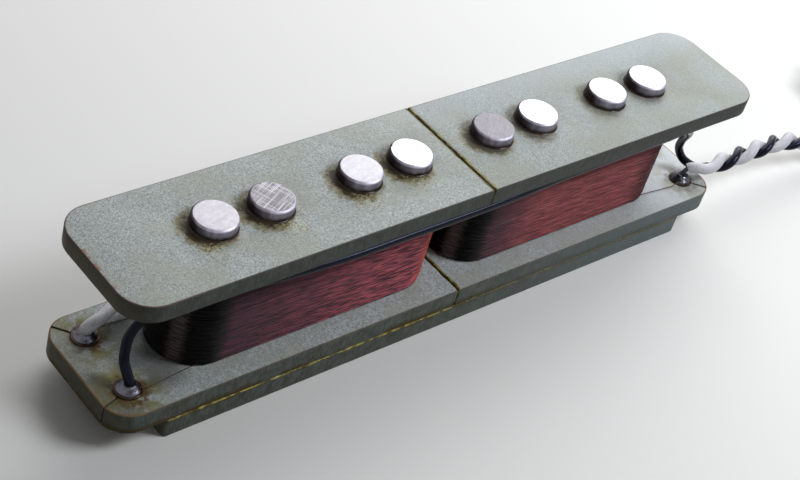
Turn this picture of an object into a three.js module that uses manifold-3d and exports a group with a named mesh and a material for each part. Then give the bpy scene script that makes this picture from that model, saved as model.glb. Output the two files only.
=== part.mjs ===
// An uncovered, in-line split-coil pickup for a four-string bass, with its output leads.
// Millimetres. X runs along the row of magnets, Y from front to back, Z up.
// The origin is the middle of the base plate's underside.

import * as THREE from 'three';
import { mergeVertices } from 'three/addons/utils/BufferGeometryUtils.js';
import Module from 'manifold-3d';

// Flatwork: two halves above and two below the coils, over one base plate
const topThickness = 2.1;
const topCornerRadius = 3.7;
const topEndOverhang = 0.35;
const topSideOverhang = 0.1;
const bottomThickness = 2.5;
const bottomCornerRadius = 3.2;
const bottomSideMargin = 2.75;
const splitGap = 0.3;
const baseThickness = 2.5;
const baseClearance = 1.05;

// Rod magnets, in pairs under each string
const rodDiameter = 5;
const rodProud = 1.35;
const rodChamfer = 0.26;
const rodFit = 0.05;
const rodSpacing = 7.1;
const stringSpacing = 18.8;
const firstString = 9.7;

// Coils
const coilHeight = 12.9;
const windingDepth = 2.4;
const turnDiameter = 0.56;
const turnClearance = 0.06;
const coilWireDiameter = 0.25;
const coilWireClearance = 0.3;

// Eyelets and their solder
const eyeletGap = 5.25;
const eyeletInset = 3.45;
const eyeletOffset = 4.1;
const eyeletBore = 2;
const eyeletWall = 0.2;
const eyeletFlangeDiameter = 3.3;
const eyeletFlangeThickness = 0.28;
const eyeletFit = 0.05;
const solderSpread = 1.45;
const solderHeight = 0.4;
const solderClearance = 0.02;
const slitWidth = 0.3;

// Leads
const whiteLeadDiameter = 1.4;
const blackLeadDiameter = 1.1;
const pairDiameter = 2.5;
const pairReach = 40.8;
const leadGap = 0.3;
const leadTipDiameter = 0.6;
const leadTipLength = 5;

// Hank of the put-away lead
const hankMiddle = -0.5;
const hankHalfLength = 20;
const hankFoldReach = 11.4;
const hankPitch = 3;
const hankLift = 0.85;
const tieWidth = 3;
const tieThickness = 0.4;
const tieClearance = 0.3;
const tieCornerRadius = 1.6;

// Angles in degrees, counts and shares
const backSlitAngle = 130;
const frontSlitAngle = 196;
const coilWireAngle = 217;
const coilWireExitAngle = -15;
const turnsPerCoil = 12;
const endSteps = 11;
const loopSteps = 24;
const turnSides = 6;
const leadSides = 8;
const roundSides = 20;
const smallRoundSides = 16;
const cornerSteps = 8;
const linkSteps = 44;
const blackSteps = 60;
const whiteSteps = 10;
const runSteps = 18;
const hankSteps = 55;
const hankWaistShare = 0.25;
const hankClimbShare = 0.25;
const hankLiftPower = 6;
const eyeletRimShare = 0.5;
const solderTopShare = 0.58;

const coilSteps = 2 * (endSteps + 1);

// Heights of the stack
const baseTop = baseThickness;
const bottomTop = baseTop + bottomThickness;
const coilTop = bottomTop + coilHeight;
const topTop = coilTop + topThickness;
const rodTop = topTop + rodProud;

// Places along the row
const rodRadius = rodDiameter / 2;
const rodPlaces = [];
for (const side of [-1, 1]) {
  for (const string of [0, 1]) {
    for (const rod of [-1, 1]) {
      rodPlaces.push(side * (firstString + string * stringSpacing) + (rod * rodSpacing) / 2);
    }
  }
}
rodPlaces.sort((a, b) => a - b);
const coilNear = firstString - rodSpacing / 2;
const coilFar = firstString + stringSpacing + rodSpacing / 2;
const coilRadius = rodRadius + windingDepth;
const eyeletX = coilFar + coilRadius + eyeletGap;

// Outlines of the plates
const bottomHalfLength = eyeletX + eyeletInset;
const bottomWidth = 2 * (coilRadius + bottomSideMargin);
const topHalfLength = bottomHalfLength + topEndOverhang;
const topWidth = bottomWidth + 2 * topSideOverhang;
const baseHalfLength = eyeletX - eyeletFlangeDiameter / 2 - baseClearance;

// Materials

function finish(colour, roughness, metalness) {
  return new THREE.MeshStandardMaterial({ color: colour, roughness, metalness });
}

const fibre = finish(0x8d9289, 0.85, 0);
const magnetMetal = finish(0xc9c8c9, 0.35, 1);
const enamel = finish(0x5a1f20, 0.35, 0.1);
const tinned = finish(0xb9a983, 0.35, 1);
const solderMetal = finish(0xb4b6ba, 0.22, 1);
const whiteJacket = finish(0xc9c8cb, 0.45, 0);
const blackJacket = finish(0x17171a, 0.35, 0);
const copperWire = finish(0x7a3524, 0.35, 0.6);
const tiePaper = finish(0x202022, 0.5, 0);

const pickup = new THREE.Group();

function add(name, geometry, material, parent = pickup) {
  const mesh = new THREE.Mesh(geometry, material);
  mesh.name = name;
  parent.add(mesh);
  return mesh;
}

// Solids

const wasm = await Module();
wasm.setup();

function toManifold(geometry) {
  const bare = geometry.clone();
  bare.deleteAttribute('normal');
  bare.deleteAttribute('uv');
  const merged = mergeVertices(bare);
  return new wasm.Manifold(new wasm.Mesh({
    numProp: 3,
    vertProperties: new Float32Array(merged.attributes.position.array),
    triVerts: new Uint32Array(merged.index.array),
  }));
}

function toGeometry(solid) {
  const mesh = solid.getMesh();
  const geometry = new THREE.BufferGeometry();
  geometry.setAttribute('position', new THREE.BufferAttribute(mesh.vertProperties, 3));
  geometry.setIndex(new THREE.BufferAttribute(mesh.triVerts, 1));
  geometry.computeVertexNormals();
  return geometry;
}

// A plate raised from its outline, with its underside at a height.
function plate(outline, thickness, underside) {
  const options = { depth: thickness, bevelEnabled: false, curveSegments: cornerSteps };
  return new THREE.ExtrudeGeometry(outline, options).translate(0, 0, underside);
}

// A round solid about Z from its section, given as [radius, height] points.
function turned(section, sides) {
  const points = section.map(([radius, height]) => new THREE.Vector2(radius, height));
  return new THREE.LatheGeometry(points, sides).rotateX(Math.PI / 2);
}

function circlePoints(x, y, radius, sides) {
  const points = [];
  for (let i = 0; i < sides; i += 1) {
    const angle = (2 * Math.PI * i) / sides;
    points.push(new THREE.Vector2(x + radius * Math.cos(angle), y + radius * Math.sin(angle)));
  }
  return points;
}

// A tube of flat-sided rings along a list of points, closed at both ends.
function woundTube(points, diameter, sides) {
  const positions = [];
  const indices = [];
  const count = points.length;
  const up = new THREE.Vector3(0, 0, 1);
  points.forEach((point, i) => {
    const before = points[Math.max(i - 1, 0)];
    const after = points[Math.min(i + 1, count - 1)];
    const along = new THREE.Vector3().subVectors(after, before).normalize();
    const across = new THREE.Vector3().crossVectors(along, up).normalize();
    const over = new THREE.Vector3().crossVectors(across, along);
    for (let j = 0; j < sides; j += 1) {
      const angle = (2 * Math.PI * (j + 0.5)) / sides;
      const ring = point.clone();
      ring.addScaledVector(across, (Math.cos(angle) * diameter) / 2);
      ring.addScaledVector(over, (Math.sin(angle) * diameter) / 2);
      positions.push(ring.x, ring.y, ring.z);
    }
  });
  for (let i = 0; i < count - 1; i += 1) {
    for (let j = 0; j < sides; j += 1) {
      const next = (j + 1) % sides;
      const a = i * sides + j;
      const b = i * sides + next;
      indices.push(a, a + sides, b);
      indices.push(b, a + sides, b + sides);
    }
  }
  const last = (count - 1) * sides;
  for (let j = 1; j < sides - 1; j += 1) {
    indices.push(0, j, j + 1);
    indices.push(last, last + j + 1, last + j);
  }
  const geometry = new THREE.BufferGeometry();
  geometry.setAttribute('position', new THREE.Float32BufferAttribute(positions, 3));
  geometry.setIndex(indices);
  geometry.computeVertexNormals();
  return geometry;
}

// A plain tube swept along a smooth curve through its points.
function lead(points, diameter, steps) {
  const section = new THREE.Shape(circlePoints(0, 0, diameter / 2, leadSides));
  const curve = new THREE.CatmullRomCurve3(points, false, 'centripetal');
  return new THREE.ExtrudeGeometry(section, { steps, extrudePath: curve, bevelEnabled: false });
}

// The least distance of a wound path to its own other turns, less its diameter.
function leastGap(points, diameter, apart) {
  let least = Infinity;
  for (let i = 0; i < points.length; i += 1) {
    for (let j = i + apart; j < points.length; j += 1) {
      least = Math.min(least, points[i].distanceTo(points[j]));
    }
  }
  return least - diameter;
}

// Flatwork

// Half a plate: square at the split, round at the far corners, with the rod holes.
function halfOutline(side, halfLength, width, radius) {
  const inner = splitGap / 2;
  const outline = new THREE.Shape();
  outline.moveTo(side * inner, (-side * width) / 2);
  outline.lineTo(side * (halfLength - radius), (-side * width) / 2);
  for (const [corner, quarter] of [[-1, -1], [1, 0]]) {
    for (let i = 0; i <= cornerSteps; i += 1) {
      const angle = (Math.PI / 2) * (quarter + i / cornerSteps);
      const x = halfLength - radius + radius * Math.cos(angle);
      const y = corner * (width / 2 - radius) + radius * Math.sin(angle);
      outline.lineTo(side * x, side * y);
    }
  }
  outline.lineTo(side * inner, (side * width) / 2);
  outline.closePath();
  for (const x of rodPlaces) {
    if (x * side > 0) {
      outline.holes.push(new THREE.Path(circlePoints(x, 0, rodRadius + rodFit, roundSides)));
    }
  }
  return outline;
}

const sides = [['left', -1], ['right', 1]];
const rows = [['front', -1], ['back', 1]];

for (const [name, side] of sides) {
  const outline = halfOutline(side, topHalfLength, topWidth, topCornerRadius);
  add(`top_flatwork_${name}`, plate(outline, topThickness, coilTop), fibre);
}

// Each lower half is the same blank, turned end for end, with a slit from each eyelet to the edge.
const eyeletHole = eyeletBore / 2 + eyeletWall + eyeletFit;

function slitCutter(side, row) {
  const angle = THREE.MathUtils.degToRad(row * side < 0 ? backSlitAngle : frontSlitAngle);
  const height = 2 * bottomThickness;
  const run = eyeletInset + bottomWidth / 2 - eyeletOffset;
  const cutter = new THREE.BoxGeometry(run, slitWidth, height);
  cutter.translate(run / 2, 0, 0);
  cutter.rotateZ(side < 0 ? angle : angle + Math.PI);
  cutter.translate(side * eyeletX, row * eyeletOffset, baseTop + bottomThickness / 2);
  return cutter;
}

for (const [name, side] of sides) {
  const outline = halfOutline(side, bottomHalfLength, bottomWidth, bottomCornerRadius);
  for (const [, row] of rows) {
    const hole = circlePoints(side * eyeletX, row * eyeletOffset, eyeletHole, smallRoundSides);
    outline.holes.push(new THREE.Path(hole));
  }
  let solid = toManifold(plate(outline, bottomThickness, baseTop));
  for (const [, row] of rows) {
    solid = solid.subtract(toManifold(slitCutter(side, row)));
  }
  add(`bottom_flatwork_${name}`, toGeometry(solid), fibre);
}

// The base plate is flush with the lower flatwork's sides and stops short of the eyelets.
const baseOutline = new THREE.Shape();
baseOutline.moveTo(-baseHalfLength, -bottomWidth / 2);
baseOutline.lineTo(baseHalfLength, -bottomWidth / 2);
baseOutline.lineTo(baseHalfLength, bottomWidth / 2);
baseOutline.lineTo(-baseHalfLength, bottomWidth / 2);
baseOutline.closePath();
add('base_plate', plate(baseOutline, baseThickness, 0), fibre);

// Rod magnets, from the lower flatwork's underside to just proud of the top

const rodFoot = baseTop + rodFit;
const rodSection = [
  [0, rodFoot],
  [rodRadius, rodFoot],
  [rodRadius, rodTop - rodChamfer],
  [rodRadius - rodChamfer, rodTop],
  [0, rodTop],
];
rodPlaces.forEach((x, i) => {
  const rod = add(`rod_magnet_${i + 1}`, turned(rodSection, roundSides), magnetMetal);
  rod.position.set(x, 0, 0);
});

// Coils: a plain core of wire round the rods, and its outer layer of turns

// The closed line round a coil's rods at a radius, one point a step, from the end of a straight.
function coilLoop(side, radius) {
  const points = [];
  for (const [end, quarter] of [[coilFar, -1], [coilNear, 1]]) {
    for (let i = 0; i <= endSteps; i += 1) {
      const angle = (Math.PI * i) / endSteps + (quarter * Math.PI) / 2;
      points.push(new THREE.Vector2(
        side * (end + radius * Math.cos(angle)),
        side * radius * Math.sin(angle),
      ));
    }
  }
  return points;
}

const turnsRadius = coilRadius - turnDiameter / 2;
const coreRadius = coilRadius - turnDiameter - turnClearance;

function coilCore(side) {
  const outline = new THREE.Shape(coilLoop(side, coreRadius));
  for (const x of rodPlaces) {
    if (x * side > 0) {
      outline.holes.push(new THREE.Path(circlePoints(x, 0, rodRadius + rodFit, roundSides)));
    }
  }
  return plate(outline, coilHeight, bottomTop);
}

function coilTurns(side) {
  const loop = coilLoop(side, turnsRadius);
  const margin = turnDiameter / 2 + turnClearance;
  const rise = coilHeight - 2 * margin;
  const total = turnsPerCoil * coilSteps;
  const points = [];
  for (let i = 0; i <= total; i += 1) {
    const place = loop[i % loop.length];
    points.push(new THREE.Vector3(place.x, place.y, bottomTop + margin + (rise * i) / total));
  }
  // Both ends run straight on for one diameter, along the coil's straight side.
  const straight = new THREE.Vector3(side * turnDiameter, 0, 0);
  const start = points[0].clone().sub(straight);
  const end = points[total].clone();
  return [start, ...points.slice(0, total), end.clone().sub(straight), end];
}

for (const [name, side] of sides) {
  add(`coil_core_${name}`, coilCore(side), enamel);
  const points = coilTurns(side);
  add(`coil_turns_${name}`, woundTube(points, turnDiameter, turnSides), enamel);
  const gap = leastGap(points, turnDiameter, coilSteps / 2);
  console.log(`${name} coil: least gap between turns ${gap.toFixed(2)} mm`);
}

// Eyelets, their solder and the fine wires from the coils

const boreRadius = eyeletBore / 2;
const barrelRadius = boreRadius + eyeletWall;
const flangeRadius = eyeletFlangeDiameter / 2;
const flangeTop = bottomTop + eyeletFlangeThickness;
const flangeFoot = baseTop - eyeletFlangeThickness;
const rim = eyeletFlangeThickness * eyeletRimShare;
const eyeletSection = [
  [boreRadius, flangeFoot],
  [flangeRadius - rim, flangeFoot],
  [flangeRadius, flangeFoot + rim],
  [flangeRadius, baseTop],
  [barrelRadius, baseTop],
  [barrelRadius, bottomTop],
  [flangeRadius, bottomTop],
  [flangeRadius, flangeTop - rim],
  [flangeRadius - rim, flangeTop],
  [boreRadius + rim, flangeTop],
  [boreRadius, flangeTop - rim],
  [boreRadius, flangeFoot],
];

const solderFoot = flangeTop + solderClearance;
const solderTop = solderFoot + solderHeight;
const solderPlug = boreRadius - solderClearance;
const solderSection = [
  [0, flangeFoot],
  [solderPlug, flangeFoot],
  [solderPlug, flangeTop - rim],
  [solderPlug + rim, solderFoot],
  [solderSpread, solderFoot],
  [solderSpread * (1 + solderTopShare) / 2, solderFoot + solderHeight * solderTopShare],
  [solderSpread * solderTopShare, solderTop],
  [0, solderTop],
];

// Where a lead stands on the solder of an eyelet.
function eyeletTop(side, row) {
  return new THREE.Vector3(side * eyeletX, row * eyeletOffset, solderTop + solderClearance);
}

function coilWire(side, row) {
  const height = bottomTop + coilWireDiameter / 2 + solderClearance;
  const exit = THREE.MathUtils.degToRad(coilWireExitAngle);
  const landing = THREE.MathUtils.degToRad(coilWireAngle);
  const clear = coilWireClearance + coilWireDiameter / 2;
  const from = flangeRadius + clear;
  const to = coilRadius + clear;
  const start = new THREE.Vector3(
    -eyeletX + from * Math.cos(exit),
    -eyeletOffset + from * Math.sin(exit),
    height,
  );
  const end = new THREE.Vector3(
    -coilFar + to * Math.cos(landing),
    to * Math.sin(landing),
    height,
  );
  const place = new THREE.Vector3(-side, -row, 1);
  return [start.multiply(place), end.multiply(place)];
}

for (const [sideName, side] of sides) {
  for (const [rowName, row] of rows) {
    const place = new THREE.Group();
    place.position.set(side * eyeletX, row * eyeletOffset, 0);
    pickup.add(place);
    add(`eyelet_${sideName}_${rowName}`, turned(eyeletSection, smallRoundSides), tinned, place);
    add(`solder_${sideName}_${rowName}`, turned(solderSection, smallRoundSides), solderMetal, place);
    const wire = woundTube(coilWire(side, row), coilWireDiameter, leadSides);
    add(`coil_wire_${sideName}_${rowName}`, wire, copperWire);
  }
}

// Leads held by the pickup

// Points of a lead, given by their distances from a place on the pickup.
function route(from, points) {
  return points.map(([x, y, z]) => new THREE.Vector3(from.x + x, from.y + y, from.z + z));
}

// The upper front edge of each coil's far end, which the black lead passes.
const leftEdge = new THREE.Vector3(-coilFar, -coilRadius, coilTop);
const rightEdge = new THREE.Vector3(coilFar, -coilRadius, coilTop);
const blackStart = eyeletTop(-1, -1);
const whiteStart = eyeletTop(1, -1);

// The white link runs behind the coils from one back eyelet to the other.
const linkRoute = [
  [0, 0, 0], [0, 0, 0.48], [0.6, 0.1, 1.03], [1.9, 0.65, 1.23], [3.5, 1.6, 1.28],
  [7.2, 2.15, 1.18], [15.2, 2.25, 0.88], [30.2, 2.2, 0.78],
];
const linkHalf = route(eyeletTop(-1, 1), linkRoute);
const otherHalf = linkHalf.map((point) => new THREE.Vector3(-point.x, point.y, point.z));
const linkPoints = [...linkHalf, ...otherHalf.reverse()];
add('link_lead', lead(linkPoints, whiteLeadDiameter, linkSteps), whiteJacket);

// The black lead climbs from the left front eyelet, runs under the top flatwork's front edge
// and comes down to the right-hand end, where it starts to twist with the white one.
const blackPoints = [
  ...route(blackStart, [
    [0, 0, 0], [0, 0, 0.43], [0, 0.6, 1.08], [0, 1.35, 1.98], [0.05, 1.6, 3.58],
    [0.25, 1.65, 5.28],
  ]),
  ...route(leftEdge, [
    [-9.35, 2.05, -5], [-8.15, 0.8, -2.8], [-5.75, -0.6, -1.3], [-1.45, -1.3, -0.8],
    [5.05, -1.8, -0.8], [12.05, -2.05, -0.85], [22.05, -2.1, -0.85],
  ]),
  ...route(rightEdge, [
    [-32.05, -2.1, -0.85], [-26.05, -1.9, -0.8], [-20.05, -1.4, -0.75], [-10.05, -1.1, -0.7],
    [-1.05, -1, -0.8], [3.95, -0.7, -1.7], [7.15, 0.6, -4.2],
  ]),
  ...route(whiteStart, [
    [-1.1, 1.4, 5.18], [0, 2, 2.98], [1, 1.5, 1.38], [2.1, 0.5, 0.63], [2.8, 0, 0.48],
    [3.5, -0.2, 0.43],
  ]),
];
add('black_lead', lead(blackPoints, blackLeadDiameter, blackSteps), blackJacket);

// The white output lead bends over from the right front eyelet.
const whitePoints = route(whiteStart, [
  [0, 0, 0], [0, 0, 0.48], [0.4, -0.25, 1.18], [1.2, -0.75, 1.43], [2.5, -1.25, 1.18],
  [3.5, -1.35, 1.03],
]);
add('white_lead', lead(whitePoints, whiteLeadDiameter, whiteSteps), whiteJacket);

// The twisted output pair: a short run that comes down to the surface, then a tied hank

const [pairStart] = route(whiteStart, [[4, -0.85, 0.73]]);
const hankStart = pairStart.x + pairReach;

// The hank starts where its outer track runs level with X.
const hankStartAngle = Math.asin(Math.sqrt(1 / (3 * (1 - hankWaistShare))));

// One point of the hank, by its turn: in to the inner track, and out again one layer up.
function hankPoint(turn) {
  const angle = 2 * Math.PI * turn + hankStartAngle;
  const cos = Math.cos(angle);
  const sin = Math.sin(angle);
  const pinch = 1 - hankWaistShare;
  const width = hankWaistShare + pinch * cos * cos;
  const along = new THREE.Vector2(
    hankHalfLength * sin,
    -hankFoldReach * cos * (width - 2 * pinch * sin * sin),
  ).normalize();
  const offset = hankPitch * Math.abs(1 - turn);
  const climb = THREE.MathUtils.smoothstep(turn, 1 - hankClimbShare, 1 + hankClimbShare);
  const lift = hankLift * Math.abs(sin) ** hankLiftPower;
  return new THREE.Vector3(
    hankStart + hankHalfLength * (1 - cos) + offset * along.y,
    hankMiddle - hankFoldReach * sin * width - offset * along.x,
    pairDiameter / 2 + lift + climb * hankPitch,
  );
}

// The unit direction from one point to another.
function heading(from, to) {
  return new THREE.Vector3().subVectors(to, from).normalize();
}

const hankPoints = [];
for (let i = 0; i <= hankSteps; i += 1) {
  hankPoints.push(hankPoint(i / loopSteps));
}
const hankEnd = hankPoints[hankSteps].clone();
const tailWay = heading(hankPoints[hankSteps - 1], hankEnd);
hankPoints.push(hankEnd.clone().addScaledVector(tailWay, pairDiameter));
const hankGap = leastGap(hankPoints, pairDiameter, loopSteps / 2);
console.log(`hank: least gap between loops ${hankGap.toFixed(2)} mm`);
add('output_pair_hank', woundTube(hankPoints, pairDiameter, turnSides), whiteJacket);

const intoHank = heading(hankPoints[0], hankPoint(leadGap / hankHalfLength / Math.PI));
const runEnd = hankPoints[0].clone().addScaledVector(intoHank, -leadGap);
const runPoints = [
  ...route(pairStart, [
    [0, 0, 0], [3.3, 0.02, -0.03], [6.3, 0.05, -0.09], [9.3, 0.1, -0.19],
    [12.3, 0.15, -0.35], [15.3, 0.15, -0.65], [18.3, 0, -1.15], [21.3, -0.35, -1.85],
    [24.3, -0.85, -2.7], [27.3, -1.5, -3.55],
  ]),
  ...route(hankPoints[0], [
    [-15.6, 1.42, 0.83], [-12.6, 0.77, 0.28], [-9.6, 0.22, 0.02], [-6.6, -0.08, -0.04],
  ]),
  runEnd,
];
add('output_pair_run', lead(runPoints, pairDiameter, runSteps), whiteJacket);

// The tie round the hank's waist, and the two tinned ends of the pair

const waistTurn = 0.25 - hankStartAngle / (2 * Math.PI);
const waist = new THREE.Box3();
for (let turn = waistTurn; turn < hankSteps / loopSteps; turn += 0.5) {
  waist.expandByPoint(hankPoint(turn));
}

// A rectangle with round corners, from its lowest corner to its highest.
function roundedBox(low, high, radius) {
  const outline = new THREE.Shape();
  outline.moveTo(low.x + radius, low.y);
  outline.lineTo(high.x - radius, low.y);
  outline.absarc(high.x - radius, low.y + radius, radius, -Math.PI / 2, 0, false);
  outline.absarc(high.x - radius, high.y - radius, radius, 0, Math.PI / 2, false);
  outline.absarc(low.x + radius, high.y - radius, radius, Math.PI / 2, Math.PI, false);
  outline.absarc(low.x + radius, low.y + radius, radius, Math.PI, 1.5 * Math.PI, false);
  return outline;
}

const tieReach = pairDiameter / 2 + tieClearance;
const tieLow = new THREE.Vector2(waist.min.y - tieReach, waist.min.z - tieReach);
const tieHigh = new THREE.Vector2(waist.max.y + tieReach, waist.max.z + tieReach);
const outward = new THREE.Vector2(tieThickness, tieThickness);
const tieOutline = roundedBox(
  tieLow.clone().sub(outward),
  tieHigh.clone().add(outward),
  tieCornerRadius + tieThickness,
);
tieOutline.holes.push(roundedBox(tieLow, tieHigh, tieCornerRadius));
const tieOptions = { depth: tieWidth, bevelEnabled: false, curveSegments: cornerSteps };
const tie = new THREE.ExtrudeGeometry(tieOutline, tieOptions);
tie.rotateX(Math.PI / 2).rotateZ(Math.PI / 2);
tie.translate(hankStart + hankHalfLength - tieWidth / 2, 0, 0);
add('hank_tie', tie, tiePaper);

const tailEnd = hankPoints[hankPoints.length - 1];
const sideways = new THREE.Vector3(-tailWay.y, tailWay.x, 0).normalize();
for (const [name, offset] of [['white', whiteLeadDiameter], ['black', -blackLeadDiameter]]) {
  const start = tailEnd.clone().addScaledVector(sideways, offset / 2);
  start.addScaledVector(tailWay, leadGap);
  const end = start.clone().addScaledVector(tailWay, leadTipLength);
  const tip = woundTube([start, end], leadTipDiameter, leadSides);
  add(`${name}_lead_tip`, tip, tinned);
}

export default pickup;
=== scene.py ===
"""An uncovered in-line pickup for a four-string bass: looks, light and camera."""
import math

import bpy
import bmesh
from mathutils import Matrix, Vector, noise


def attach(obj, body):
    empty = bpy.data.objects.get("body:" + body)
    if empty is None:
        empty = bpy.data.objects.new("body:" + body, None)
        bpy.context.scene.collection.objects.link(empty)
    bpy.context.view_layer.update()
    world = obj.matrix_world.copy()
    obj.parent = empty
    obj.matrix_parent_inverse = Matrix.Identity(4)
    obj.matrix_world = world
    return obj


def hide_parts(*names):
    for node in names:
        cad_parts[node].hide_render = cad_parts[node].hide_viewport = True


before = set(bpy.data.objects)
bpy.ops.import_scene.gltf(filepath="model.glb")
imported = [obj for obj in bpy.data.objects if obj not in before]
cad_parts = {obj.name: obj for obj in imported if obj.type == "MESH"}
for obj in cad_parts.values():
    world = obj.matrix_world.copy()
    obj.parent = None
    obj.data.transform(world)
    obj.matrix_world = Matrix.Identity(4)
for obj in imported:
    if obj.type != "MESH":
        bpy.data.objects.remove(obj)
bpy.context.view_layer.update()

MM = 0.001
scene = bpy.context.scene
scene.view_settings.view_transform = "Standard"

# Sizes and places in millimetres, the same as in the CAD. The pickup is even about x = 0 and
# y = 0, its front is at -y, and z = 0 is the base board's underside.
LOWER_UNDER, LOWER_TOP = 2.5, 5.0  # the lower flatwork's faces
UPPER_UNDER, UPPER_TOP = 17.9, 20.0
UPPER_HALF, UPPER_CORNER = (46.0, 7.75), 3.7  # half its length and width, and its corners
LOWER_HALF, LOWER_CORNER = (45.65, 7.65), 3.2
BASE_HALF, BASE_CORNER = (39.5, 7.65), 0.5
HALF_SPLIT = 0.15
PAIR_X, ROD_STEP = (-28.5, -9.7, 9.7, 28.5), 3.55  # the pairs' middles, and from there to a rod
ROD_X = [middle + step for middle in PAIR_X for step in (-ROD_STEP, ROD_STEP)]
ROD_RADIUS, ROD_TOP = 2.5, 21.35
COIL_X, COIL_HALF = 19.1, 12.95  # a coil's middle, and half its straight part
EYELET_X, EYELET_Y = 42.2, 4.1
WHITE, BLACK, PAIR = 1.4, 1.1, 2.5  # the leads' diameters, and the pair's over both
SIDES = (("left", -1), ("right", 1))
EYELETS = {f"{side}_{row}": (sx * EYELET_X, sy * EYELET_Y)
           for side, sx in SIDES for row, sy in (("front", -1), ("back", 1))}


# Helpers

def srgb(*levels):
    """A linear colour from levels of 0 to 255 as a screen shows them."""
    return tuple(((c / 255 + 0.055) / 1.055) ** 2.4 if c > 10 else c / 3294.6 for c in levels)


def scaled(color, factor):
    return tuple(v * factor for v in color)


def smooth01(x):
    """0 below 0, 1 above 1, and smooth between."""
    x = min(1.0, max(0.0, x))
    return x * x * (3 - 2 * x)


def angles(count):
    """Even angles round a circle."""
    return [2 * math.pi * s / count for s in range(count)]


def smooth_route(points, step):
    """The centripetal curve through points, resampled evenly."""
    pts = [Vector(p) for p in points]
    padded = [pts[0] * 2 - pts[1]] + pts + [pts[-1] * 2 - pts[-2]]
    pieces = 24
    out = []
    for i in range(len(pts) - 1):
        a, b, c, d = padded[i:i + 4]
        u, v, w = [max(1e-6, (q - p).length ** 0.5) for p, q in ((a, b), (b, c), (c, d))]
        t1 = ((b - a) / u - (c - a) / (u + v) + (c - b) / v) * v
        t2 = ((c - b) / v - (d - b) / (v + w) + (d - c) / w) * v
        for k in range(pieces):
            s = k / pieces
            out.append(b * (2 * s**3 - 3 * s**2 + 1) + t1 * (s**3 - 2 * s**2 + s)
                       + c * (3 * s**2 - 2 * s**3) + t2 * (s**3 - s**2))
    return even(out + [pts[-1]], step)


def even(points, step):
    """The same line with points an even distance apart, as near to step as fits."""
    along = [0.0]
    for p, q in zip(points, points[1:]):
        along.append(along[-1] + (q - p).length)
    count = max(2, round(along[-1] / step))
    out, j = [], 0
    for i in range(count + 1):
        s = along[-1] * i / count
        while j < len(points) - 2 and along[j + 1] < s:
            j += 1
        span = along[j + 1] - along[j]
        out.append(points[j].lerp(points[j + 1], (s - along[j]) / span if span else 0))
    return out


def frames(points, closed=False):
    """A tangent and two cross directions at each point, that don't twist."""
    n = len(points)
    out, side = [], None
    for i in range(n):
        before = points[i - 1] if i or closed else points[i]
        after = points[(i + 1) % n] if i < n - 1 or closed else points[i]
        tangent = (after - before).normalized()
        if side is None:
            side = tangent.cross(Vector((0, 0, 1)))
            upright = side.length < 0.1
            if upright:
                side = tangent.cross(Vector((0, 1, 0)))
        side = (side - tangent * side.dot(tangent)).normalized()
        out.append((tangent, side, tangent.cross(side)))
    return out


class Shape:
    """Vertices in millimetres and faces of a piece, with a material number for each face."""

    def __init__(self):
        self.verts, self.faces, self.mats = [], [], []

    def rings(self, rings, ends="flat", mat=0):
        """Rings of equal count, each joined to the next. The two ends are flat faces, open, or
        joined to each other."""
        first, n, count = len(self.verts), len(rings[0]), len(rings)
        faces = []
        for r in range(count if ends == "joined" else count - 1):
            q = (r + 1) % count
            for i in range(n):
                j = (i + 1) % n
                faces.append((r * n + i, r * n + j, q * n + j, q * n + i))
        if ends == "flat":
            faces.append(tuple(range(n - 1, -1, -1)))
            faces.append(tuple((count - 1) * n + i for i in range(n)))
        self.verts += [tuple(v) for ring in rings for v in ring]
        self.faces += [tuple(first + i for i in face) for face in faces]
        self.mats += [mat] * len(faces)

    def tube(self, points, radius, sides, mat=0):
        """A round tube along points."""
        self.rings([[p + (a * math.cos(k) + b * math.sin(k)) * radius for k in angles(sides)]
                    for p, (_, a, b) in zip(points, frames(points))], mat=mat)

    def lathe(self, profile, centre, segments, warp=None, ends="flat"):
        """A solid of revolution about an upright axis. profile holds radii and heights, and
        warp(radius, height, angle) gives what is added to the two."""
        rings = []
        for r, z in profile:
            ring = []
            for a in angles(segments):
                dr, dz = warp(r, z, a) if warp else (0, 0)
                ring.append((centre[0] + (r + dr) * math.cos(a),
                             centre[1] + (r + dr) * math.sin(a), z + dz))
            rings.append(ring)
        self.rings(rings, ends)

    def build(self, name, materials, replaces=(), sharp=35):
        """The piece itself. Edges turned more than sharp degrees stay sharp."""
        mesh = bpy.data.meshes.new(name)
        mesh.from_pydata([(x * MM, y * MM, z * MM) for x, y, z in self.verts], [], self.faces)
        mesh.polygons.foreach_set("use_smooth", [True] * len(self.faces))
        mesh.polygons.foreach_set("material_index", self.mats)
        mesh.set_sharp_from_angle(angle=math.radians(sharp))
        bm = bmesh.new()
        bm.from_mesh(mesh)
        bmesh.ops.recalc_face_normals(bm, faces=bm.faces)
        bm.to_mesh(mesh)
        bm.free()
        obj = bpy.data.objects.new(name, mesh)
        scene.collection.objects.link(obj)
        for material in materials:
            mesh.materials.append(material)
        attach(obj, "root")
        if replaces:
            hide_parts(*replaces)
        return obj


# Material nodes

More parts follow.
